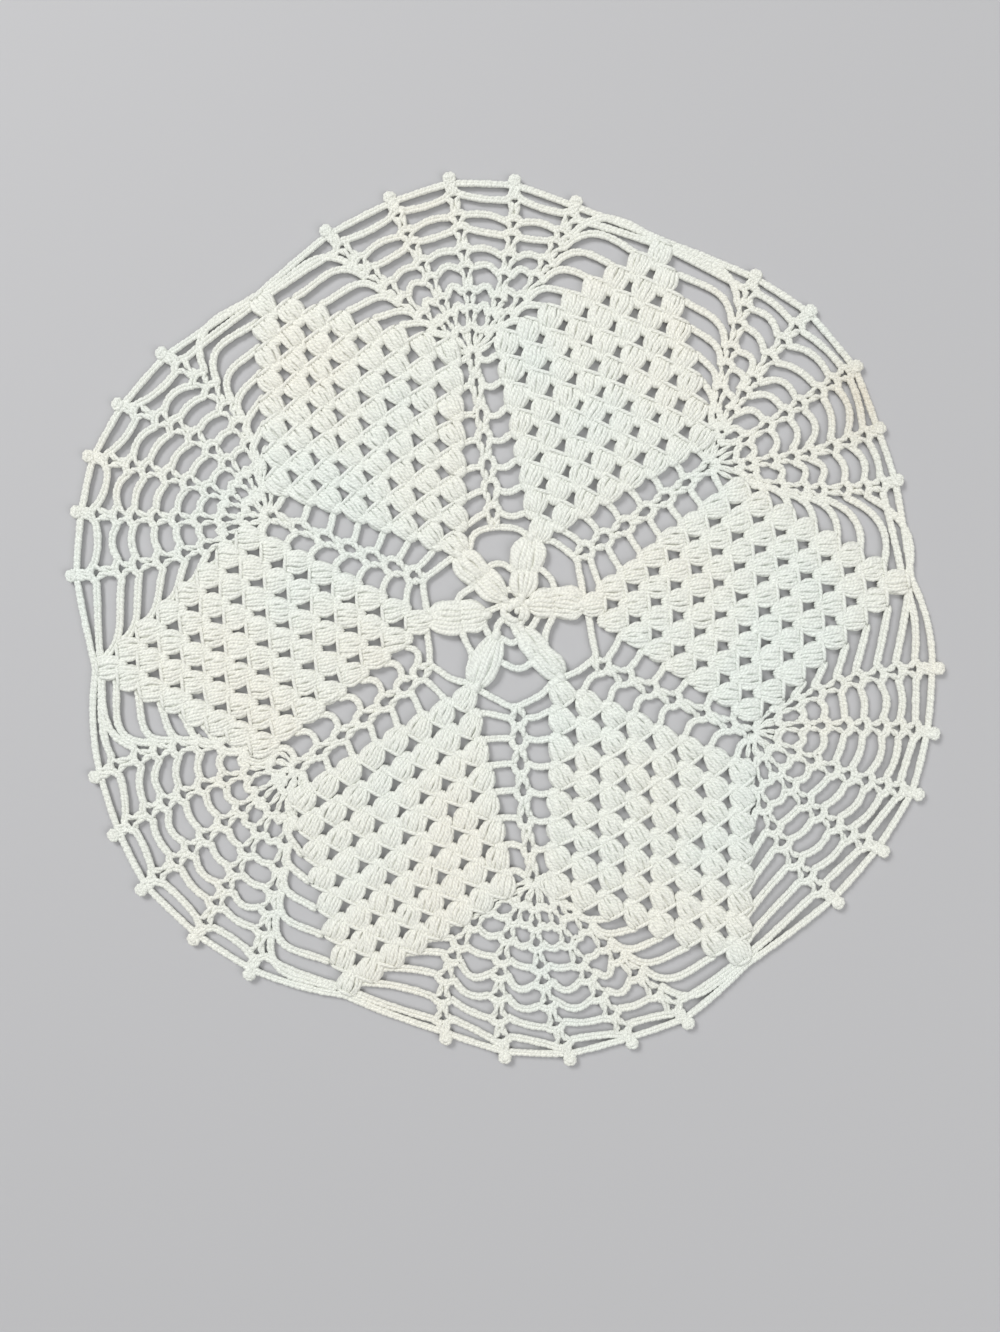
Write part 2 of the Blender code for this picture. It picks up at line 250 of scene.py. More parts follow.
PETAL_CHAINS = (  # the round of chain that passes through the middle of the petals
    ((-0.9, 16.2), (3.8, 15.6), (8.5, 16.6), (11.1, 14.9), (12.9, 12.8), (13.9, 10.0)),
    ((13.9, 10.0), (14.6, 5.0), (13.3, -0.2), (11.6, -3.6), (10.7, -7.1), (10.7, -10.5)),
    ((10.7, -10.5), (9.0, -13.7), (5.5, -16.1), (2.9, -17.6), (-0.1, -17.6), (-4.4, -15.6), (-7.6, -15.0)),
    ((-15.4, -21.4), (-15.5, -17.9), (-14.5, -13.1), (-16.5, -8.8), (-17.8, -5.4)),
    ((-17.8, -5.4), (-17.4, -0.2), (-19.6, 4.4), (-18.2, 7.6), (-14.3, 10.2)),
    ((-14.3, 10.2), (-11.3, 13.5), (-8.3, 17.5), (-5.7, 18.4), (-3.1, 17.9), (-0.9, 16.2)),
)
KNOT_CHAINS = (  # the chains that draw the petals to the ring, and the loose loops between them
    ((9.0, 1.6), (8.2, -0.2), (6.6, -2.8), (5.0, -5.0), (4.6, -7.0)),
    ((-10.4, 2.4), (-10.6, -0.8), (-10.2, -3.2), (-9.0, -5.6), (-7.4, -8.0)),
    ((-12.0, 0.6), (-8.8, 2.0), (-5.6, 3.4), (-2.6, 4.6)),
    ((-3.6, -0.6), (-5.4, -2.4), (-6.0, -4.8), (-5.6, -8.0)),
    ((-5.8, -7.0), (-3.6, -7.7), (-1.2, -9.0), (1.4, -8.2), (3.2, -6.4)),
    ((-0.6, -2.2), (0.2, -4.4), (1.4, -6.4), (3.0, -7.8)),
    ((2.2, 3.6), (4.8, 3.4), (7.6, 3.8)),
    ((-1.6, 4.6), (-4.2, 7.0), (-7.0, 9.6)),
    ((1.0, 5.0), (2.2, 7.2), (3.2, 9.8)),
    ((-6.4, 8.6), (-2.4, 9.4), (1.6, 9.0)),
)
Turn = namedtuple("Turn", "middle reach first last thick level")
KNOT = (  # the ring itself, many turns of thread pulled tight into a knot round a small hole
    Turn((0.4, 1.4), 3.9, 20, 150, 1.45, 1.40),
    Turn((0.2, 1.6), 3.8, 110, 235, 1.40, 1.60),
    Turn((0.4, 1.4), 4.0, 205, 330, 1.45, 1.40),
    Turn((0.6, 1.6), 3.8, 300, 410, 1.40, 1.70),
    Turn((0.6, 1.8), 2.3, 40, 190, 1.35, 2.15),
    Turn((0.4, 1.2), 2.5, 170, 310, 1.35, 2.05),
    Turn((0.8, 1.4), 2.3, 280, 430, 1.35, 2.20),
    Turn((1.8, 1.9), 0.9, 60, 260, 0.95, 2.40),
)
TIP_CHAINS = (  # the round of chain between the petals' tips; each is pulled out to a ladder at its middle
    ((-15.6, 21.8), (-14.4, 27.3), (-12.1, 29.6), (-7.0, 31.0), (-2.4, 30.9), (1.4, 30.3), (4.8, 28.1)),
    ((8.4, 26.4), (12.6, 26.3), (15.9, 24.6), (21.3, 20.0), (22.4, 15.8), (23.4, 11.0), (24.0, 6.6)),
    ((25.2, 3.2), (26.4, -3.6), (27.3, -8.8), (28.1, -13.3), (25.6, -16.0), (21.9, -18.7), (17.4, -20.6)),
    (
        (13.4, -22.4), (10.7, -25.6), (7.7, -27.8), (-0.1, -31.0), (-5.7, -28.6), (-9.1, -26.9),
        (-12.2, -25.0),
    ),
    (
        (-15.4, -22.8), (-21.6, -21.3), (-26.0, -18.3), (-28.8, -16.1), (-29.2, -11.0), (-30.1, -4.5),
        (-30.2, -2.2),
    ),
    ((-29.8, 1.0), (-30.8, 6.7), (-31.3, 11.0), (-30.3, 13.6), (-26.4, 16.6), (-21.2, 20.6)),
)
# Where each ladder starts from that round.
TIP_VERTICES = ((-7.0, 31.2), (21.6, 20.4), (28.4, -13.6), (-0.1, -31.2), (-29.0, -16.4), (-30.8, 12.8))
KNOT_FLATNESS = 0.9  # how high a turn of the knot is for its width
CENTRE_CHAIN = 0.95  # width of the chains inside the tips
PETAL_CHAIN_LEVEL = 1.5  # height of their middle, mm
KNOT_CHAIN_LEVEL = 1.3

# A puff of a panel, as shares of its size or in mm.
PUFF_STRAY = 0.25  # how far it strays from its place, mm
PUFF_TURN = 0.06  # how far its direction strays
PUFF_DIFFERS = (0.03, 0.05)  # how much its length and width differ
PUFF_OUT = 0.35  # how far it is drawn outwards, mm
PUFF_ENDS = (0.78, 0.90)  # where its strands start and end, in half lengths from its middle
PUFF_SHARES = (0.52, 0.70)  # how wide it is at its base and its tip
COLLAR = (-1.5, -0.5, 0.5, 1.5)  # the strands that close its base, counted from its middle
COLLAR_START = 0.9  # how far before the puff's end its middle starts, mm
COLLAR_ROUND = 0.4  # and how much later each strand from there outwards does, mm
COLLAR_END = 2.8  # how far into the puff they end, mm
COLLAR_STEPS = (0.75, 1.3)  # how far apart they start and end, mm
COLLAR_LEVEL = 1.7  # mm
COLLAR_RISE = (0.3, 0.4)  # how far below and above that they start and end, mm
COLLAR_BEAD = (0.9, 0.95)  # half their width and height, mm
RIDGE_PLACE = 0.80  # the ridge of chain that closes it, in half lengths from its middle
RIDGE_LEVEL = 2.3  # mm
RIDGE_REACH = 5.7  # how far the ridge reaches to a neighbour, mm
RIDGE_END = 3.0  # and how far where there is none, mm
RIDGE_DROP = 0.35  # how far it comes down at its ends, mm
RIDGE_STRAY = 0.3  # and how far they stray, mm
RIDGE_BEAD = (0.72, 0.7)  # half its width and height, mm


def polar(reach, degrees):
    angle = math.radians(degrees)
    return np.array((reach * math.cos(angle), reach * math.sin(angle), 0.0)) * MM


def unit(vector):
    return vector / np.linalg.norm(vector)


def left_of(direction):
    return unit(np.cross(UP, direction))


def corners_of(panel):
    """The panel's inner, left, outer and right corner puffs."""
    return (
        polar(panel.inner_r, panel.inner_a),
        polar(panel.left_r, panel.left_a),
        polar(panel.outer_r, panel.outer_a),
        polar(panel.right_r, panel.right_a),
    )


def puff_place(panel, i, j):
    """The centre and direction of the puff that is i places along the right side and j along the left."""
    inner, left, outer, right = corners_of(panel)
    last = PUFFS_PER_SIDE - 1
    u, v = i / last, j / last
    place = inner * (1 - u) * (1 - v) + right * u * (1 - v) + left * (1 - u) * v + outer * u * v
    along_right = (right - inner) * (1 - v) + (outer - left) * v
    along_left = (left - inner) * (1 - u) + (outer - right) * u
    return place, unit((1 - RAY_SHARE) * unit(along_right + along_left) + RAY_SHARE * unit(place))


# ------------------------------------------------------------------------------------------------------
# Thread

Spindle = namedtuple("Spindle", "stations ring angle corners starts around along")
SPINDLE_SIDES = 5
PLY_SHARE = {"lobe": 1.0, "post": 1.0, "strand": 0.62}  # thicker thread is twisted more slowly
PLY_SHIFT = 7.0  # the twist starts anywhere in this length, mm
TURN_POINTS = 17  # the points that a turn of thread is laid through
SPINDLE_STATIONS = {"lobe": 6, "post": 7, "strand": 8}


def model_spindle(stations):
    """A closed length of thread, modelled once: rings between two closed ends."""
    bpy.ops.object.select_all(action="DESELECT")
    bpy.ops.mesh.primitive_uv_sphere_add(segments=SPINDLE_SIDES, ring_count=stations - 1, radius=1.0)
    model = bpy.context.active_object
    mesh = model.data
    places = np.empty(len(mesh.vertices) * 3)
    mesh.vertices.foreach_get("co", places)
    places = places.reshape(-1, 3)
    height = np.clip(places[:, 2], -1.0, 1.0)
    ring = np.rint((math.pi - np.arccos(height)) / math.pi * (stations - 1)).astype(int)
    corners = np.empty(len(mesh.loops), dtype=int)
    mesh.loops.foreach_get("vertex_index", corners)
    starts = np.empty(len(mesh.polygons), dtype=int)
    mesh.polygons.foreach_get("loop_start", starts)
    wrap = np.empty(len(mesh.loops) * 2)
    mesh.uv_layers.active.data.foreach_get("uv", wrap)
    wrap = wrap.reshape(-1, 2)
    angle = np.arctan2(places[:, 1], places[:, 0])
    bpy.data.objects.remove(model)
    bpy.data.meshes.remove(mesh)
    return Spindle(stations, ring, angle, corners, starts, wrap[:, 0], wrap[:, 1])


class Thread:
    """Lengths of thread gathered for one piece."""

    def __init__(self, seed):
        self.random = np.random.default_rng(seed)
        self.laid = {kind: [] for kind in SPINDLE_STATIONS}

    def jitter(self, amount):
        return self.random.uniform(-amount, amount)

    def lay(self, kind, routes, wide, high):
        """Lays one length of thread along each route; wide and high are half its width and height."""
        routes = np.asarray(routes)
        shape = routes.shape[:2]
        wide = np.broadcast_to(wide, shape)
        high = np.broadcast_to(high, shape)
        self.laid[kind].append((routes, wide, high))

    def piece(self, name, spindles, material):
        """Joins all that has been laid into one closed, smooth mesh with a map along the thread."""
        points, corners, starts, wraps = [], [], [], []
        point_count = corner_count = 0
        for kind, batches in self.laid.items():
            if not batches:
                continue
            spindle = spindles[kind]
            routes = np.concatenate([batch[0] for batch in batches])
            wide = np.concatenate([batch[1] for batch in batches])
            high = np.concatenate([batch[2] for batch in batches])
            along = np.gradient(routes, axis=1)
            along /= np.linalg.norm(along, axis=2, keepdims=True)
            left = np.cross(UP, along)
            left /= np.maximum(np.linalg.norm(left, axis=2, keepdims=True), 1e-9)
            above = np.cross(along, left)
            closed = np.isin(spindle.ring, (0, spindle.stations - 1))
            reach = np.where(closed, 0.0, 1.0)
            across = reach * np.cos(spindle.angle) * wide[:, spindle.ring]
            over = reach * np.sin(spindle.angle) * high[:, spindle.ring]
            places = routes[:, spindle.ring] + across[..., None] * left[:, spindle.ring]
            places = places + over[..., None] * above[:, spindle.ring]
            count, size = places.shape[:2]
            points.append(places.reshape(-1, 3))
            offsets = np.arange(count)[:, None] * size + point_count
            corners.append((offsets + spindle.corners).ravel())
            offsets = np.arange(count)[:, None] * len(spindle.corners) + corner_count
            starts.append((offsets + spindle.starts).ravel())
            length = np.linalg.norm(np.diff(routes, axis=1), axis=2).sum(axis=1)
            shift = self.random.uniform(0.0, PLY_SHIFT, count)
            down = spindle.along * (length / MM)[:, None] * PLY_SHARE[kind] + shift[:, None]
            around = np.broadcast_to(spindle.around, down.shape)
            wraps.append(np.stack((around, down), axis=2).reshape(-1, 2))
            point_count += count * size
            corner_count += count * len(spindle.corners)
        points = np.concatenate(points) + RING
        points[:, 2] = np.maximum(points[:, 2], 0.0)  # the underside lies flat
        corners = np.concatenate(corners)
        starts = np.concatenate(starts)
        mesh = bpy.data.meshes.new(name)
        mesh.vertices.add(len(points))
        mesh.vertices.foreach_set("co", points.astype(np.float32).ravel())
        mesh.loops.add(len(corners))
        mesh.loops.foreach_set("vertex_index", corners.astype(np.int32))
        mesh.polygons.add(len(starts))
        mesh.polygons.foreach_set("loop_start", starts.astype(np.int32))
        thread_map = mesh.uv_layers.new(name="thread")
        thread_map.data.foreach_set("uv", np.concatenate(wraps).astype(np.float32).ravel())
        mesh.update(calc_edges=True)
        if mesh.validate():
            raise RuntimeError(f"{name}: its mesh had faults")
        mesh.shade_smooth()
        mesh.materials.append(material)
        made = bpy.data.objects.new(name, mesh)
        bpy.context.scene.collection.objects.link(made)
        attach(made, "root")
        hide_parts("doily")
        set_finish(made, "cotton_thread")
        return made


def smooth_route(points, steps=6):
    """A smooth line through the points."""
    points = [np.asarray(p, dtype=float) for p in points]
    ends = [2 * points[0] - points[1]] + points + [2 * points[-1] - points[-2]]
    line = []
    for a, b, c, d in zip(ends, ends[1:], ends[2:], ends[3:]):
        for step in range(steps):
            t = step / steps
            line.append(
                0.5
                * (
                    2 * b
                    + (c - a) * t
                    + (2 * a - 5 * b + 4 * c - d) * t * t
                    + (3 * b - a - 3 * c + d) * t * t * t
                )
            )
    line.append(points[-1])
    return np.array(line)


def bowed(start, end, bow, steps=10, lean=0.0):
    """A line from start to end that bows to its left; lean moves its top towards the end."""
    t = np.linspace(0.0, 1.0, steps + 1)
    side = left_of(end - start)
    rise = 4 * t * (1 - t) * (1 + lean * (2 * t - 1))
    return start + (end - start) * t[:, None] + side * (bow * rise)[:, None]


def join_routes(routes):
    return np.concatenate([routes[0]] + [route[1:] for route in routes[1:]])


PAST_ENDS = 10 * MM  # a route can be read this far past its ends
NEAR = 0.4 * MM  # and its direction is taken between places this far before and after


def read_route(route, distances):
    """Places and left-hand directions at distances along a route, and straight on past its ends."""
    steps = np.diff(route, axis=0)
    lengths = np.linalg.norm(steps, axis=1)
    keep = lengths > 1e-9
    route = route[np.concatenate(([True], keep))]
    steps, lengths = steps[keep], lengths[keep]
    travelled = np.concatenate(([0.0], np.cumsum(lengths)))
    first, last = steps[0] / lengths[0], steps[-1] / lengths[-1]
    route = np.concatenate(([route[0] - first * PAST_ENDS], route, [route[-1] + last * PAST_ENDS]))
    travelled = np.concatenate(([-PAST_ENDS], travelled, [travelled[-1] + PAST_ENDS]))

    def places_at(where):
        return np.stack([np.interp(where, travelled, route[:, axis]) for axis in range(3)], axis=-1)

    left = np.cross(UP, places_at(distances + NEAR) - places_at(distances - NEAR))
    left /= np.maximum(np.linalg.norm(left, axis=-1, keepdims=True), 1e-12)
    return places_at(distances), left


def route_length(route):
    return float(np.linalg.norm(np.diff(route, axis=0), axis=1).sum())


def swelling(stations, start, end, power):
    """Shares of a full thickness from one end of a length of thread to the other."""
    return np.sin(np.linspace(start, math.pi - end, stations)) ** power


# Stations of a chain stitch's lobe: along in stitches, out in chain spreads, up in thread radii.
LOBE_ALONG = np.array((-0.42, -0.10, 0.34, 0.80, 1.20, 1.46))
LOBE_OUT = np.array((0.08, 0.32, 0.50, 0.52, 0.38, 0.14))
LOBE_UP = np.array((-0.60, -0.05, 0.45, 0.50, 0.0, -0.60))
LOBE_THICK = np.array((0.5, 0.88, 1.0, 1.0, 0.88, 0.5))
LOBE_LIFT = 0.8  # how much of the rise and fall is kept
LOBE_WOBBLE = (0.9, 1.1)  # the thinnest and thickest stitch
LOBE_STRAY = 0.12  # how much their spread differs


def chain(thread, sizes, route, width=1.0, height=None):
    """A crochet chain: each stitch is a V of two lobes, and the next one comes up through it."""
    stitches = max(1, round(route_length(route) / sizes.chain_stitch))
    stitch = route_length(route) / stitches
    level = sizes.chain_level if height is None else height
    places, left = read_route(route, (np.arange(stitches)[:, None] + LOBE_ALONG) * stitch)
    out = LOBE_OUT * sizes.chain_width * width
    up = LOBE_UP * sizes.thread_radius * LOBE_LIFT + level
    wobble = thread.random.uniform(*LOBE_WOBBLE, (stitches, 1))
    radius = LOBE_THICK * sizes.thread_radius * wobble
    for side in (1.0, -1.0):
        spread = 1.0 + thread.random.uniform(-LOBE_STRAY, LOBE_STRAY, (stitches, 1))
        routes = places + left * (side * out * spread)[..., None] + UP * up[:, None]
        thread.lay("lobe", routes, radius, radius)


POST_REACH = 0.04  # how much of its length a post runs on at each end
POST_OFFSET = 0.80  # its strands' distance from its middle, in their own radii
POST_FLATNESS = 0.75  # how high it is for its width


def post(thread, sizes, route, turns, plump, level):
    """A tall stitch along a route: two strands twisted round each other."""
    stations = SPINDLE_STATIONS["post"]
    t = np.linspace(-POST_REACH, 1 + POST_REACH, stations)
    places, left = read_route(np.asarray(route), t * route_length(route))
    phase = thread.random.uniform(0.0, 2 * math.pi)
    radius = sizes.thread_radius * plump * swelling(stations, 0.30, 0.30, 0.35)
    offset = sizes.thread_radius * plump * POST_OFFSET
    routes = []
    for strand in (0.0, math.pi):
        turn = phase + strand + 2 * math.pi * turns * t
        line = places + left * (offset * np.cos(turn))[:, None]
        routes.append(line + UP * (level + POST_FLATNESS * offset * np.sin(turn))[:, None])
    thread.lay("post", routes, radius, radius)


# A V stitch, in mm.
VEE_FOOT = (-1.0, 0.95)  # where a post starts: past the middle of the bar below, and beside it
VEE_NECK = (0.5, 1.05)  # where the posts pass the start of the hole: before it, and beside its middle
VEE_TOP = 0.6  # how far the posts run past the hole's middle
VEE_ARM = 0.4  # where the chain round the hole starts
VEE_BAR = (1.0, 1.1)  # the bar's distance past the hole, and half its width
VEE_BEND = (0.94, 0.42)  # where the chain bends, in shares of the hole's half width and length
VEE_LEVEL = 1.2  # height of the posts' middle
VEE_TURNS = (1.0, 0.2)  # turns of their twist, and how much they differ


def vee(thread, sizes, base, hole, spread, length, direction, plump):
    """A V stitch over the bar at base, round its own small hole. Returns its chain and its bar's middle."""
    side = left_of(direction)
    low = base + direction * VEE_FOOT[0] * MM
    bar = hole + direction * (length / 2 + VEE_BAR[0] * MM)
    arms = []
    for way in (1.0, -1.0):
        foot = low + side * way * VEE_FOOT[1] * MM
        neck = hole - direction * (length / 2 + VEE_NECK[0] * MM) + side * way * VEE_NECK[1] * MM
        top = hole + side * way * spread
        turns = VEE_TURNS[0] + thread.jitter(VEE_TURNS[1])
        route = smooth_route((foot, neck, top + direction * VEE_TOP * MM), 4)
        post(thread, sizes, route, turns, plump, VEE_LEVEL * MM)
        arms.append(top + direction * VEE_ARM * MM)
    out, along = VEE_BEND
    bar_end = side * VEE_BAR[1] * MM
    bend = (hole + side * spread * out + direction * length * along, bar + bar_end)
    back = (bar - bar_end, hole - side * spread * out + direction * length * along)
    return smooth_route((arms[0], *bend, *back, arms[1]), 3), bar


# The strands of a puff, in shares of its length, width and height.
WIDENS = 0.55  # the first part of its length, in which it widens
NARROWS = 0.40  # and the last, in which it narrows
FLANK_CURVE = 1.8
# One layer of strands: the sum of their radii, and their height at the puff's edge and middle.
Layer = namedtuple("Layer", "thick edge middle")
TOP_LAYER = Layer(0.60, 0.50, 0.74)
LOW_LAYER = Layer(0.62, 0.38, 0.36)
DOME = 0.9  # how much of a half circle the top strands follow
STRAND_END = 0.30  # height of their ends
PUFF_LEAN = 0.12  # how far a puff may lean
LEAN_SHARE = 0.3
STRAND_WAVE = (0.034, 0.025)  # how far a strand waves sideways and up
WAVE_TURNS = 1.2
STRAND_STRAY = (0.06, 0.03)  # how far it lies from its place sideways and up
STRAND_SIZES = (0.92, 1.08)  # the thinnest and thickest strand
FEWEST_STRANDS = 3
STRAND_ROUNDING = 0.15  # a puff takes one more strand a little early
THIN_END = (0.35, 0.7)  # its thickness where the puff has no width, and what is added at full width


def puff(thread, sizes, base, tip, width, strands, base_share, tip_share):
    """A puff: strands drawn up side by side between its base and its tip; a wide one has more of them."""
    stations = SPINDLE_STATIONS["strand"]
    height = sizes.puff_height
    upper = max(FEWEST_STRANDS, round(strands * width / sizes.puff_width + STRAND_ROUNDING))
    lower = upper // 2 + 1
    along = tip - base
    side = left_of(along)
    t = np.linspace(0.0, 1.0, stations)
    rise = (1 - base_share) * np.clip(1 - t / WIDENS, 0, 1) ** FLANK_CURVE
    fall = (1 - tip_share) * np.clip((t - (1 - NARROWS)) / NARROWS, 0, 1) ** FLANK_CURVE
    shape = 1 - rise - fall
    arch = swelling(stations, 0.25, 0.12, 0.6)
    swell = swelling(stations, 0.45, 0.45, 0.4)
    lean = thread.jitter(PUFF_LEAN)
    for count, layer in ((upper, TOP_LAYER), (lower, LOW_LAYER)):
        radius = width * layer.thick / count
        across = np.linspace(-1.0, 1.0, count)
        across = across + thread.random.uniform(-STRAND_STRAY[0], STRAND_STRAY[0], count)
        dome = np.sqrt(np.clip(1 - (DOME * across) ** 2, 0.0, 1.0))
        out = (width / 2 - radius) * across[:, None] * shape
        out = out + (lean * width * LEAN_SHARE * (2 * t - 1))[None, :]
        wave = thread.random.uniform(0.0, 2 * math.pi, (count, 1)) + 2 * math.pi * WAVE_TURNS * t
        out = out + STRAND_WAVE[0] * width * np.sin(wave) * np.sin(math.pi * t)
        rest = layer.edge + (layer.middle - layer.edge) * dome
        rest = rest + thread.random.uniform(-STRAND_STRAY[1], STRAND_STRAY[1], count)
        rest = STRAND_END + (rest[:, None] - STRAND_END) * arch + STRAND_WAVE[1] * np.cos(wave)
        routes = base + along * t[:, None] + side * out[..., None] + UP * (height * rest)[..., None]
        narrow = np.clip(THIN_END[0] + THIN_END[1] * shape, 0.0, 1.0)
        thick = radius * swell * narrow * thread.random.uniform(*STRAND_SIZES, (count, 1))
        thread.lay("strand", routes, thick, thick)


def bead(thread, route, wide, high, kind="strand"):
    """One short thick length of thread along a route; wide and high are half its width and height."""
    stations = SPINDLE_STATIONS[kind]
    places, _ = read_route(np.asarray(route), np.linspace(0.0, 1.0, stations) * route_length(route))
    swell = swelling(stations, 0.2, 0.2, 0.5)
    thread.lay(kind, [places], wide * swell, high * swell)


# ------------------------------------------------------------------------------------------------------
# What a user may change


class DoilySizes(bpy.types.PropertyGroup):
    """Sizes of the thread and of its stitches."""

    thread_radius: bpy.props.FloatProperty(
        name="Thread radius",
        description="Half the thickness of one strand of a stitch",
        default=0.76 * MM,
        min=0.1 * MM,
        subtype="DISTANCE",
        unit="LENGTH",
        precision=5,
    )
    chain_stitch: bpy.props.FloatProperty(
        name="Chain stitch",
        description="Length of one chain stitch",
        default=2.1 * MM,
        min=0.5 * MM,
        subtype="DISTANCE",
        unit="LENGTH",
        precision=5,
    )
    chain_width: bpy.props.FloatProperty(
        name="Chain spread",
        description="About the distance between the middles of a chain's two lobes",
        default=1.02 * MM,
        min=0.3 * MM,
        subtype="DISTANCE",
        unit="LENGTH",
        precision=5,
    )
    chain_level: bpy.props.FloatProperty(
        name="Chain height",
        description="Height of the middle of a chain above the table",
        default=1.0 * MM,
        min=0.2 * MM,
        subtype="DISTANCE",
        unit="LENGTH",
        precision=5,
    )
    puff_height: bpy.props.FloatProperty(
        name="Puff height",
        description="Thickness of a puff",
        default=3.4 * MM,
        min=1.0 * MM,
        subtype="DISTANCE",
        unit="LENGTH",
        precision=5,
    )
    puff_width: bpy.props.FloatProperty(
        name="Puff width",
        description="Width of a puff across the panel",
        default=8.8 * MM,
        min=2.0 * MM,
        subtype="DISTANCE",
        unit="LENGTH",
        precision=5,
    )
    puff_length: bpy.props.FloatProperty(
        name="Puff length",
        description="Length of a puff from base to tip",
        default=11.0 * MM,
        min=2.0 * MM,
        subtype="DISTANCE",
        unit="LENGTH",
        precision=5,
    )
    puff_strands: bpy.props.IntProperty(
        name="Puff strands",
        description="Strands seen on top of one puff of a panel",
        default=7,
        min=4,
        max=9,
    )
    petal_strands: bpy.props.IntProperty(
        name="Petal strands",
        description="Strands seen on top of a petal as wide as a puff",
        default=5,
        min=4,
        max=9,
    )


class DoilyColours(bpy.types.PropertyGroup):
    """Colours of the cotton and of the floor."""

    cream: bpy.props.FloatVectorProperty(
        name="Cream",
        description="Main colour of the cotton",
        default=(0.86, 0.85, 0.77),
        size=3,
        min=0.0,
        max=1.0,
        subtype="COLOR",
    )
    cool: bpy.props.FloatVectorProperty(
        name="Cool white",
        description="Colour of the cotton where it has faded",
        default=(0.82, 0.86, 0.81),
        size=3,
        min=0.0,
        max=1.0,
        subtype="COLOR",
    )
    aged: bpy.props.FloatVectorProperty(
        name="Aged",
        description="Colour of the yellowed cotton near one edge",
        default=(0.78, 0.73, 0.62),
        size=3,
        min=0.0,
        max=1.0,
        subtype="COLOR",
    )
    floor: bpy.props.FloatVectorProperty(
        name="Floor",
        description="Colour of the floor",
        default=(0.49, 0.49, 0.50),
        size=3,
        min=0.0,
        max=1.0,
        subtype="COLOR",
    )


# ------------------------------------------------------------------------------------------------------
# Material

COTTON = "crochet_cotton"
AGED_PLACE = (0.124, 0.077, 0.0)  # the middle of the yellowed place
AGED_REACH = 0.037  # and how far it reaches
YARN_PLIES = 2
PLY_PITCH = 0.9  # length of one turn of a ply, mm
PLY_WAVER = 9.0  # how unevenly the plies run
PLY_DEPTH = 0.17  # how deep the grooves between them are, beside the fibres; the same grooves are also painted darker in the colour as shade
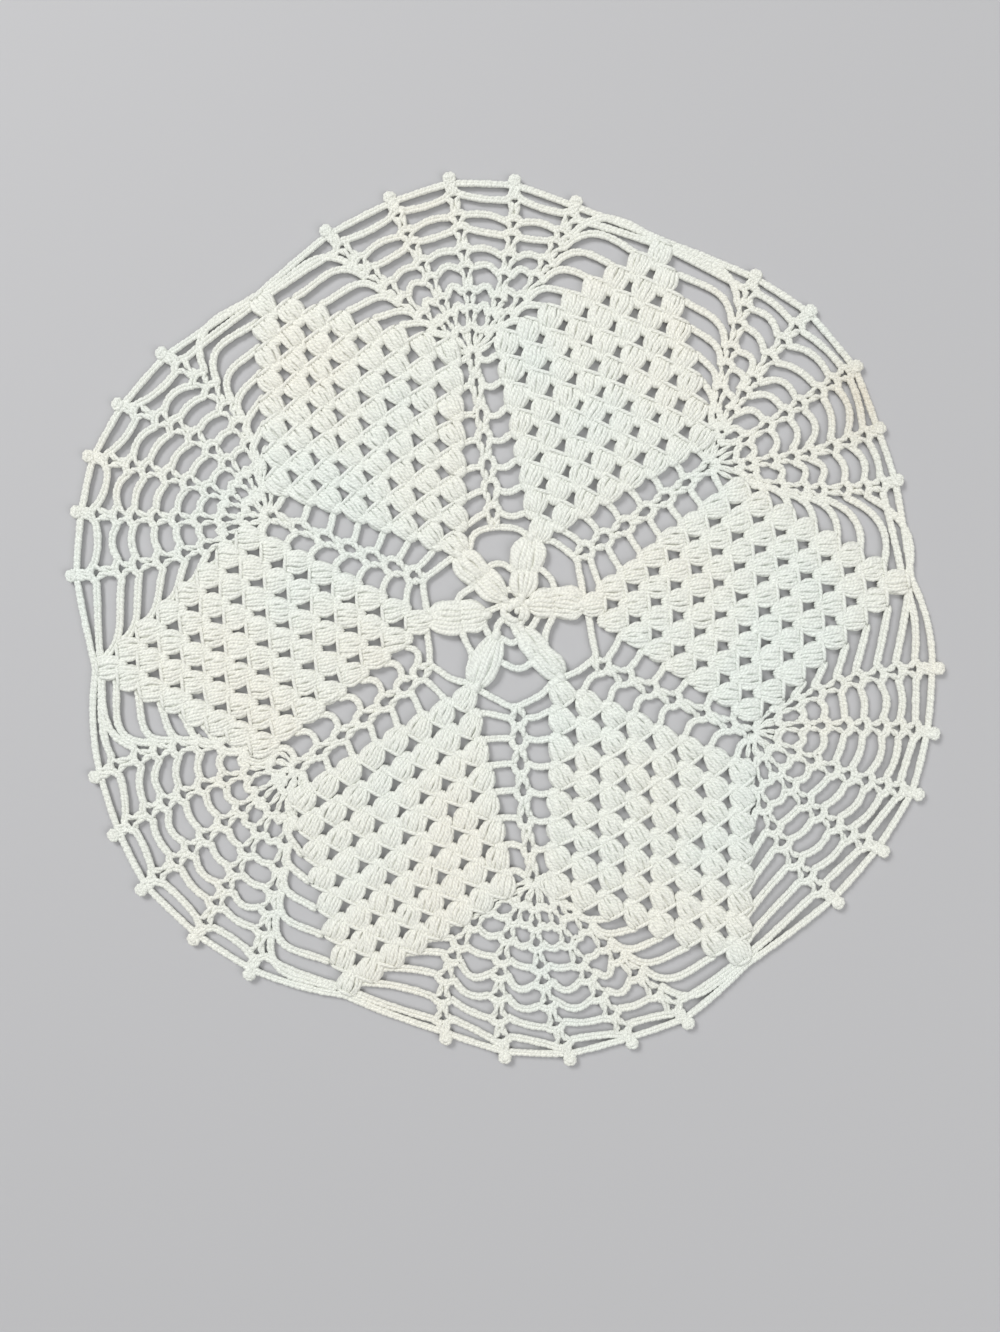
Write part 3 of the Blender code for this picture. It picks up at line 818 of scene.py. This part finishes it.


def cotton():
    """Matte crochet cotton: plied thread, cloudy cream colour, painted shade in the grooves between the
    plies and one yellowed place.
    """
    material = bpy.data.materials.get(COTTON)
    if material is not None:
        return material
    colours = bpy.context.scene.doily_colours
    material = bpy.data.materials.new(COTTON)
    material.use_nodes = True
    nodes, links = material.node_tree.nodes, material.node_tree.links
    shader = nodes["Principled BSDF"]
    shader.inputs["Roughness"].default_value = 0.82
    shader.inputs["Specular IOR Level"].default_value = 0.3
    shader.inputs["Sheen Weight"].default_value = 0.25
    shader.inputs["Sheen Roughness"].default_value = 0.5
    place = nodes.new("ShaderNodeTexCoord")

    clouds = nodes.new("ShaderNodeTexNoise")
    clouds.inputs["Scale"].default_value = 16.0
    clouds.inputs["Detail"].default_value = 2.0
    links.new(place.outputs["Object"], clouds.inputs["Vector"])
    cloud_ramp = nodes.new("ShaderNodeValToRGB")
    cloud_ramp.color_ramp.elements[0].position = 0.35
    cloud_ramp.color_ramp.elements[0].color = (*colours.cream, 1.0)
    cloud_ramp.color_ramp.elements[1].position = 0.65
    cloud_ramp.color_ramp.elements[1].color = (*colours.cool, 1.0)
    links.new(clouds.outputs["Fac"], cloud_ramp.inputs["Fac"])

    aged_place = nodes.new("ShaderNodeMapping")
    aged_place.vector_type = "TEXTURE"
    aged_place.inputs["Location"].default_value = AGED_PLACE
    aged_place.inputs["Scale"].default_value = (AGED_REACH, AGED_REACH, AGED_REACH)
    links.new(place.outputs["Object"], aged_place.inputs["Vector"])
    aged_fade = nodes.new("ShaderNodeTexGradient")
    aged_fade.gradient_type = "QUADRATIC_SPHERE"
    links.new(aged_place.outputs["Vector"], aged_fade.inputs["Vector"])
    aged_mix = nodes.new("ShaderNodeMix")
    aged_mix.data_type = "RGBA"
    aged_mix.inputs["B"].default_value = (*colours.aged, 1.0)
    links.new(aged_fade.outputs["Fac"], aged_mix.inputs["Factor"])
    links.new(cloud_ramp.outputs["Color"], aged_mix.inputs["A"])

    wrap = nodes.new("ShaderNodeUVMap")
    wrap.uv_map = "thread"
    parts = nodes.new("ShaderNodeSeparateXYZ")
    links.new(wrap.outputs["UV"], parts.inputs["Vector"])
    turn = nodes.new("ShaderNodeMath")
    turn.operation = "MULTIPLY_ADD"
    turn.inputs[1].default_value = 2 * math.pi * YARN_PLIES
    along = nodes.new("ShaderNodeMath")
    along.operation = "MULTIPLY"
    along.inputs[1].default_value = 2 * math.pi / PLY_PITCH
    links.new(parts.outputs["Y"], along.inputs[0])
    links.new(parts.outputs["X"], turn.inputs[0])
    links.new(along.outputs["Value"], turn.inputs[2])
    drift = nodes.new("ShaderNodeTexNoise")
    drift.inputs["Scale"].default_value = 600.0
    drift.inputs["Detail"].default_value = 1.0
    links.new(place.outputs["Object"], drift.inputs["Vector"])
    waver = nodes.new("ShaderNodeMath")
    waver.operation = "MULTIPLY_ADD"
    waver.inputs[1].default_value = PLY_WAVER
    links.new(drift.outputs["Fac"], waver.inputs[0])
    links.new(turn.outputs["Value"], waver.inputs[2])
    ply = nodes.new("ShaderNodeMath")
    ply.operation = "SINE"
    links.new(waver.outputs["Value"], ply.inputs[0])

    fibre = nodes.new("ShaderNodeTexNoise")
    fibre.inputs["Scale"].default_value = 1100.0
    fibre.inputs["Detail"].default_value = 3.0
    fibre.inputs["Roughness"].default_value = 0.6
    links.new(place.outputs["Object"], fibre.inputs["Vector"])
    surface = nodes.new("ShaderNodeMath")
    surface.operation = "MULTIPLY_ADD"
    surface.inputs[1].default_value = PLY_DEPTH
    links.new(ply.outputs["Value"], surface.inputs[0])
    links.new(fibre.outputs["Fac"], surface.inputs[2])

    # Painted shade and light: the colour is darker in the grooves between the plies and lighter on their
    # crests, mixed with random mottling from the fibres.
    painted_groove_shade_and_mottle = nodes.new("ShaderNodeMapRange")
    painted_groove_shade_and_mottle.inputs["From Min"].default_value = 0.2
    painted_groove_shade_and_mottle.inputs["From Max"].default_value = 0.8
    painted_groove_shade_and_mottle.inputs["To Min"].default_value = 0.81
    painted_groove_shade_and_mottle.inputs["To Max"].default_value = 1.07
    links.new(surface.outputs["Value"], painted_groove_shade_and_mottle.inputs["Value"])
    colour_with_painted_shade = nodes.new("ShaderNodeVectorMath")
    colour_with_painted_shade.operation = "SCALE"
    links.new(aged_mix.outputs["Result"], colour_with_painted_shade.inputs[0])
    links.new(painted_groove_shade_and_mottle.outputs["Result"], colour_with_painted_shade.inputs["Scale"])
    links.new(colour_with_painted_shade.outputs["Vector"], shader.inputs["Base Color"])

    bump = nodes.new("ShaderNodeBump")
    bump.inputs["Strength"].default_value = 0.8
    bump.inputs["Distance"].default_value = 0.15 * MM
    links.new(surface.outputs["Value"], bump.inputs["Height"])
    links.new(bump.outputs["Normal"], shader.inputs["Normal"])
    return material


# ------------------------------------------------------------------------------------------------------
# Pieces


def model_spindles():
    return {kind: model_spindle(stations) for kind, stations in SPINDLE_STATIONS.items()}


def ladder_stitch(index, k):
    """The k-th V stitch of the ladder that follows a panel: its place and its direction."""
    panel, following = PANELS[index], PANELS[(index + 1) % len(PANELS)]
    last = PUFFS_PER_SIDE - 1
    rails = []
    for step in (k, last, 0):
        left, _ = puff_place(panel, step, 0)
        right, _ = puff_place(following, 0, step)
        rails.append((left + right) / 2)
    place, end, start = rails
    direction = unit(end - start)
    ladder = LADDERS[index]
    t = (k - 1) / (last - 1)
    first, middle, final = ladder.sides
    aside = first * (1 - t) * (1 - 2 * t) + middle * 4 * t * (1 - t) + final * t * (2 * t - 1)
    place = place - direction * ladder.shifts[k - 1] * MM + left_of(direction) * aside * MM
    return place, direction


def flat_route(points):
    """A smooth route through points given in mm from the ring's centre."""
    return smooth_route([np.array((x, y, 0.0)) * MM for x, y in points])


def work_petal(thread, sizes, petal):
    """One puff of a petal, with a short thick neck at each end that is drawn in tight."""
    base = np.array((*petal.base, 0.0)) * MM
    tip = np.array((*petal.tip, 0.0)) * MM
    shares = (petal.base_share, petal.tip_share)
    puff(thread, sizes, base, tip, petal.width * MM, sizes.petal_strands, *shares)
    along = unit(tip - base) * MM
    past, inside = NECK_REACH
    for end, share, way in ((base, petal.base_share, along), (tip, petal.tip_share, -along)):
        if share < PETAL_NECK:
            neck = end + UP * NECK_LEVEL * MM
            wide = NECK_WIDE * share * petal.width * MM + NECK_EXTRA * MM
            route = (neck - way * past, neck + way * inside + UP * NECK_RISE * MM)
            bead(thread, route, wide, NECK_HIGH * MM)


class DOILY_OT_centre(bpy.types.Operator):
    """Works the ring, the six petals and the chains between them"""

    bl_idname = "doily.centre"
    bl_label = "Centre"

    def execute(self, context):
        sizes = context.scene.doily_sizes
        thread = Thread(SEEDS["centre"])
        for petal in PETALS:
            work_petal(thread, sizes, petal)
        for points in PETAL_CHAINS:
            chain(thread, sizes, flat_route(points), CENTRE_CHAIN, PETAL_CHAIN_LEVEL * MM)
        for points in TIP_CHAINS:
            chain(thread, sizes, flat_route(points))
        for points in KNOT_CHAINS:
            chain(thread, sizes, flat_route(points), CENTRE_CHAIN, KNOT_CHAIN_LEVEL * MM)
        for turn in KNOT:
            middle = np.array((*turn.middle, turn.level)) * MM
            angles = np.linspace(turn.first, turn.last, TURN_POINTS)
            route = [middle + polar(turn.reach, angle) for angle in angles]
            bead(thread, route, turn.thick * MM, turn.thick * MM * KNOT_FLATNESS)
        thread.piece("centre", model_spindles(), cotton())
        return {"FINISHED"}


def work_puff(thread, sizes, panel, i, j):
    """One puff of a panel, with the strands that close its base and the ridge of chain that closes it."""
    place, direction = puff_place(panel, i, j)
    across = left_of(direction)
    stray = PUFF_STRAY * MM
    place = place + across * thread.jitter(stray) + direction * thread.jitter(stray)
    place = place + direction * PUFF_OUT * MM
    direction = unit(direction + across * thread.jitter(PUFF_TURN))
    across = left_of(direction)
    half = direction * sizes.puff_length / 2 * (1 + thread.jitter(PUFF_DIFFERS[0]))
    width = sizes.puff_width * (1 + thread.jitter(PUFF_DIFFERS[1]))
    base, tip = place - half * PUFF_ENDS[0], place + half * PUFF_ENDS[1]
    puff(thread, sizes, base, tip, width, sizes.puff_strands, *PUFF_SHARES)

    base = place - half + UP * COLLAR_LEVEL * MM
    for way in COLLAR:
        before = COLLAR_START - COLLAR_ROUND * abs(way)
        inner = base - direction * before * MM + across * way * COLLAR_STEPS[0] * MM
        outer = base + direction * COLLAR_END * MM + across * way * COLLAR_STEPS[1] * MM
        route = (inner - UP * COLLAR_RISE[0] * MM, outer + UP * COLLAR_RISE[1] * MM)
        bead(thread, route, COLLAR_BEAD[0] * MM, COLLAR_BEAD[1] * MM)

    last = PUFFS_PER_SIDE - 1
    left_reach = RIDGE_REACH if i > 0 and j < last else RIDGE_END
    right_reach = RIDGE_REACH if i < last and j > 0 else RIDGE_END
    top = place + half * RIDGE_PLACE + UP * RIDGE_LEVEL * MM
    drop = UP * RIDGE_DROP
    left_end = top + (across * left_reach + direction * thread.jitter(RIDGE_STRAY) - drop) * MM
    right_end = top - (across * right_reach + direction * thread.jitter(RIDGE_STRAY) + drop) * MM
    bead(thread, smooth_route((left_end, top, right_end), 4), RIDGE_BEAD[0] * MM, RIDGE_BEAD[1] * MM)


class DOILY_OT_panels(bpy.types.Operator):
    """Works the six panels of puff stitch"""

    bl_idname = "doily.panels"
    bl_label = "Puff panels"

    def execute(self, context):
        sizes = context.scene.doily_sizes
        models = model_spindles()
        for number, panel in enumerate(PANELS, start=1):
            thread = Thread(SEEDS["panels"] + number)
            for i in range(PUFFS_PER_SIDE):
                for j in range(PUFFS_PER_SIDE):
                    work_puff(thread, sizes, panel, i, j)
            thread.piece(f"panel_{number}", models, cotton())
        return {"FINISHED"}


def work_rung(thread, sizes, index, k, bar):
    """A ladder's k-th V stitch, over the bar below, and its chain to both panels. Returns its own bar."""
    panel, following, ladder = PANELS[index], PANELS[(index + 1) % len(PANELS)], LADDERS[index]
    hole, direction = ladder_stitch(index, k)
    stray = LADDER_STRAY * MM
    hole = hole + left_of(direction) * thread.jitter(stray) + direction * thread.jitter(stray)
    spread = LADDER_SPREADS[k - 1] * ladder.width * MM
    length = LADDER_HOLES[k - 1] * ladder.hole * MM
    middle, bar = vee(thread, sizes, bar, hole, spread, length, direction, LADDER_PLUMP)
    puff_left, along_left = puff_place(panel, k, 0)
    puff_right, along_right = puff_place(following, 0, k)
    from_left, from_right = left_of(along_left), left_of(along_right)
    start = puff_left - from_left * PANEL_GRIP * MM - along_left * ladder.ends[0] * MM
    end = puff_right + from_right * PANEL_GRIP * MM - along_right * ladder.ends[1] * MM
    first = bowed(start, middle[0], ladder.bows[0] * MM)
    final = bowed(middle[-1], end, ladder.bows[1] * MM)
    under, onwards = RUNG_HOLD
    held = start + from_left * under * MM + along_left * onwards * MM
    last_held = end - from_right * under * MM + along_right * onwards * MM
    chain(thread, sizes, join_routes(([held], [held, *first], middle, [*final, last_held])))
    return bar


class DOILY_OT_ladders(bpy.types.Operator):
    """Works the six ladders of V stitches between the panels"""

    bl_idname = "doily.ladders"
    bl_label = "Ladders"

    def execute(self, context):
        sizes = context.scene.doily_sizes
        thread = Thread(SEEDS["ladders"])
        for index in range(len(PANELS)):
            bar = np.array((*TIP_VERTICES[index], 0.0)) * MM
            for k in range(1, PUFFS_PER_SIDE):
                bar = work_rung(thread, sizes, index, k, bar)
        thread.piece("ladders", model_spindles(), cotton())
        return {"FINISHED"}


def fan_foot(index):
    """Where a fan's columns run from, and the direction of the ladder below."""
    foot, direction = ladder_stitch(index, PUFFS_PER_SIDE - 1)
    out, aside = FANS[index].foot
    return foot + direction * out * MM + left_of(direction) * aside * MM, direction


def fan_stitch(index, column, level):
    """A V stitch of a fan: its place and the direction of its column there."""
    fan = FANS[index]
    foot, _ = fan_foot(index)
    end = polar(fan.reaches[column], fan.angles[column])
    outwards = unit(end - foot)
    side = left_of(outwards)
    t = fan.rounds[level]
    swell = 4 * t * (1 - t)
    bulge = fan.bulges[column] * MM
    place = foot + (end - foot) * t + side * bulge * swell + outwards * fan.pulls[column] * swell * MM
    direction = unit((end - foot) + side * (4 * bulge * (1 - 2 * t)))
    return place, direction


def fan_sides(index, level, first, final):
    """The arcs from the ends of a fan's round, at first and final, to the panels beside it."""
    panel, following, fan = PANELS[index], PANELS[(index + 1) % len(PANELS)], FANS[index]
    last = PUFFS_PER_SIDE - 1
    row = min(level + 1, last)
    puff_left, along_left = puff_place(panel, last, row)
    puff_right, along_right = puff_place(following, row, last)
    if level == last:
        start = puff_left + along_left * TIP_CHAIN * MM
        end = puff_right + along_right * TIP_CHAIN * MM
        left_bow = TIP_BOWS[index][1] * MM
        right_bow = TIP_BOWS[(index + 1) % len(TIP_BOWS)][0] * MM
    else:
        left_share, right_share = OUTER_SHARES[index] if level == last - 1 else (1.0, 1.0)
        start = puff_left + along_left * (fan.left.along * left_share * MM)
        start = start - left_of(along_left) * fan.left.out * MM
        end = puff_right + along_right * (fan.right.along * right_share * MM)
        end = end + left_of(along_right) * fan.right.out * MM
        left_bow = fan.left.bow * left_share * np.linalg.norm(first - start)
        right_bow = fan.right.bow * right_share * np.linalg.norm(end - final)
    left = bowed(start, first, left_bow, lean=fan.left.lean)
    right = bowed(final, end, right_bow, lean=fan.right.lean)
    return left, right


def fan_round(thread, posts, sizes, index, level, bars):
    """One round of a fan: V stitches over the last round, and arcs between them and to the panels."""
    fan = FANS[index]
    stray = FAN_STRAY * MM
    stitches = []
    for column in range(FAN_COLUMNS):
        hole, direction = fan_stitch(index, column, level)
        hole = hole + left_of(direction) * thread.jitter(stray) + direction * thread.jitter(stray)
        spread = FAN_SPREADS[level] * fan.width * MM
        length = FAN_HOLES[level] * fan.hole * MM
        plump = FAN_PLUMP + FAN_PLUMP_STEP * level
        middle, bars[column] = vee(posts, sizes, bars[column], hole, spread, length, direction, plump)
        stitches.append(middle)
    left, right = fan_sides(index, level, stitches[0][0], stitches[-1][-1])
    routes = [left]
    for middle, following in zip(stitches, stitches[1:]):
        bow = fan.bows[level] * MM * (1 + thread.jitter(ARC_STRAY))
        routes += [middle, bowed(middle[-1], following[0], bow)]
    routes += [stitches[-1], right]
    width = FAN_CHAIN + FAN_CHAIN_GROWTH * (fan.width - 1.0)
    chain(thread, sizes, join_routes(routes), width)


def picot(thread, sizes, base, knob):
    """A picot: three posts from the inner border chain, drawn up over the outer one into a knob."""
    out = unit(knob)
    side = left_of(out)
    for offset in PICOT_POSTS:
        start = base - out * PICOT_SINK * MM + side * offset * MM
        end = knob + out * PICOT_TOP * MM + side * offset * PICOT_TAPER * MM
        turns = PICOT_TURNS[0] + thread.jitter(PICOT_TURNS[1])
        post(thread, sizes, (start, end), turns, PICOT_PLUMP, PICOT_LEVEL * MM)
    turn = np.linspace(0.0, 2 * math.pi, TURN_POINTS) + thread.jitter(RING_TURN)
    ring = np.cos(turn)[:, None] * side * PICOT_RING[0] + np.sin(turn)[:, None] * out * PICOT_RING[1]
    chain(thread, sizes, knob + ring * MM, RING_CHAIN, RING_LEVEL * MM)
    cap = knob + UP * CAP_LEVEL * MM
    reach = side * CAP_REACH * MM
    route = (cap - reach, cap + out * CAP_BEND * MM, cap + reach)
    bead(thread, route, CAP_BEAD[0] * MM, CAP_BEAD[1] * MM, "lobe")


def outer_chain(thread, sizes):
    """The outer border chain, from picot to picot and past each panel's outer puff."""
    stops = []
    for index, fan in enumerate(FANS):
        tip, along = puff_place(PANELS[index], PUFFS_PER_SIDE - 1, PUFFS_PER_SIDE - 1)
        stops.append(tip + along * TIP_BORDERS[index] * MM)
        for reach, angle in zip(fan.reaches, fan.angles):
            stops.append(polar(reach - PICOT_BASE, angle))
    stops.append(stops[0])
    routes = []
    for number, (start, end) in enumerate(zip(stops, stops[1:])):
        tip, step = divmod(number, FAN_COLUMNS + 1)
        bow = BORDER_BOW
        if step == 0:
            bow = TIP_BOWS[tip][1]
        elif step == FAN_COLUMNS:
            bow = TIP_BOWS[(tip + 1) % len(TIP_BOWS)][0]
        routes.append(bowed(start, end, bow * MM, BORDER_STEPS))
    chain(thread, sizes, join_routes(routes))


class DOILY_OT_fans(bpy.types.Operator):
    """Works the six fans of V stitches and chain arcs, and the border with its picots"""

    bl_idname = "doily.fans"
    bl_label = "Fans and border"

    def execute(self, context):
        sizes = context.scene.doily_sizes
        fans, stitches = Thread(SEEDS["fans"]), Thread(SEEDS["fan_stitches"])
        border = Thread(SEEDS["border"])
        rounds = len(FAN_SPREADS)
        border_bars = []
        for index in range(len(FANS)):
            foot, direction = fan_foot(index)
            foot = foot + direction * FAN_FOOT_OUT * MM
            middle = (FAN_COLUMNS - 1) // 2
            asides = [left_of(direction) * (middle - column) for column in range(FAN_COLUMNS)]
            bars = [foot + aside * FAN_FOOT_STEP * MM for aside in asides]
            for level in range(rounds):
                thread = fans if level < rounds - 1 else border
                fan_round(thread, stitches, sizes, index, level, bars)
            border_bars.append(bars)
        for fan, bars, out in zip(FANS, border_bars, KNOBS_OUT):
            for reach, angle, bar in zip(fan.reaches, fan.angles, bars):
                picot(border, sizes, bar, polar(reach + out, angle))
        outer_chain(border, sizes)
        models = model_spindles()
        net = fans.piece("fans", models, cotton())
        stitches.piece("fan_stitches", models, cotton())
        border.piece("border", models, cotton())
        return {"FINISHED"}


# ------------------------------------------------------------------------------------------------------
# Stage

FLOOR_SIZE = 4.0
VIEW_CENTRE = (-0.00157, -0.0160)
VIEW_HEIGHT = 0.346
LENS = 27.0
LIGHTS = (  # name, place, size and power
    ("key", (-0.95, 1.00, 1.25), 0.7, 23.0),
    ("fill", (1.10, -0.70, 1.20), 1.2, 10.5),
    ("top", (0.10, -0.20, 1.60), 1.4, 5.0),
)


class DOILY_OT_stage(bpy.types.Operator):
    """Lays the floor and sets the lights and the camera"""

    bl_idname = "doily.stage"
    bl_label = "Stage"

    def execute(self, context):
        colours = context.scene.doily_colours
        bpy.ops.object.select_all(action="DESELECT")
        bpy.ops.mesh.primitive_plane_add(size=FLOOR_SIZE)
        floor = context.active_object
        floor.name = "floor"
        paint = bpy.data.materials.new("floor_paint")
        paint.use_nodes = True
        shader = paint.node_tree.nodes["Principled BSDF"]
        shader.inputs["Base Color"].default_value = (*colours.floor, 1.0)
        shader.inputs["Roughness"].default_value = 0.9
        floor.data.materials.append(paint)
        for name, place, size, power in LIGHTS:
            lamp = bpy.data.lights.new(name, "AREA")
            lamp.energy = power
            lamp.size = size
            light = bpy.data.objects.new(name, lamp)
            light.location = place
            towards = -light.location.normalized()
            light.rotation_euler = towards.to_track_quat("-Z", "Y").to_euler()
            context.scene.collection.objects.link(light)
        world = bpy.data.worlds.new("studio")
        world.use_nodes = True
        world.node_tree.nodes["Background"].inputs["Color"].default_value = (1.0, 1.0, 1.0, 1.0)
        world.node_tree.nodes["Background"].inputs["Strength"].default_value = 0.3
        context.scene.world = world
        lens = bpy.data.cameras.new("camera")
        lens.lens = LENS
        lens.clip_start = 0.01
        lens.clip_end = 20.0
        camera = bpy.data.objects.new("camera", lens)
        camera.location = (*VIEW_CENTRE, VIEW_HEIGHT)
        context.scene.collection.objects.link(camera)
        context.scene.camera = camera
        context.scene.view_settings.view_transform = "Standard"
        return {"FINISHED"}


class DOILY_PT_panel(bpy.types.Panel):
    """Lists the doily's sizes, colours and pieces"""

    bl_idname = "DOILY_PT_panel"
    bl_label = "Lace doily"
    bl_space_type = "VIEW_3D"
    bl_region_type = "UI"
    bl_category = "Doily"

    def draw(self, context):
        column = self.layout.column(align=True)
        for group in (context.scene.doily_sizes, context.scene.doily_colours):
            for name in group.__annotations__:
                column.prop(group, name)
            column.separator()
        for operator in OPERATORS:
            column.operator(operator.bl_idname)


OPERATORS = (DOILY_OT_stage, DOILY_OT_centre, DOILY_OT_panels, DOILY_OT_ladders, DOILY_OT_fans)
CLASSES = (DoilySizes, DoilyColours, *OPERATORS, DOILY_PT_panel)


def register():
    for each in CLASSES:
        bpy.utils.register_class(each)
    bpy.types.Scene.doily_sizes = bpy.props.PointerProperty(type=DoilySizes)
    bpy.types.Scene.doily_colours = bpy.props.PointerProperty(type=DoilyColours)


def unregister():
    del bpy.types.Scene.doily_colours
    del bpy.types.Scene.doily_sizes
    for each in reversed(CLASSES):
        bpy.utils.unregister_class(each)


def main():
    register()
    bpy.ops.doily.stage()
    bpy.ops.doily.centre()
    bpy.ops.doily.panels()
    bpy.ops.doily.ladders()
    bpy.ops.doily.fans()


if __name__ == "__main__":
    main()
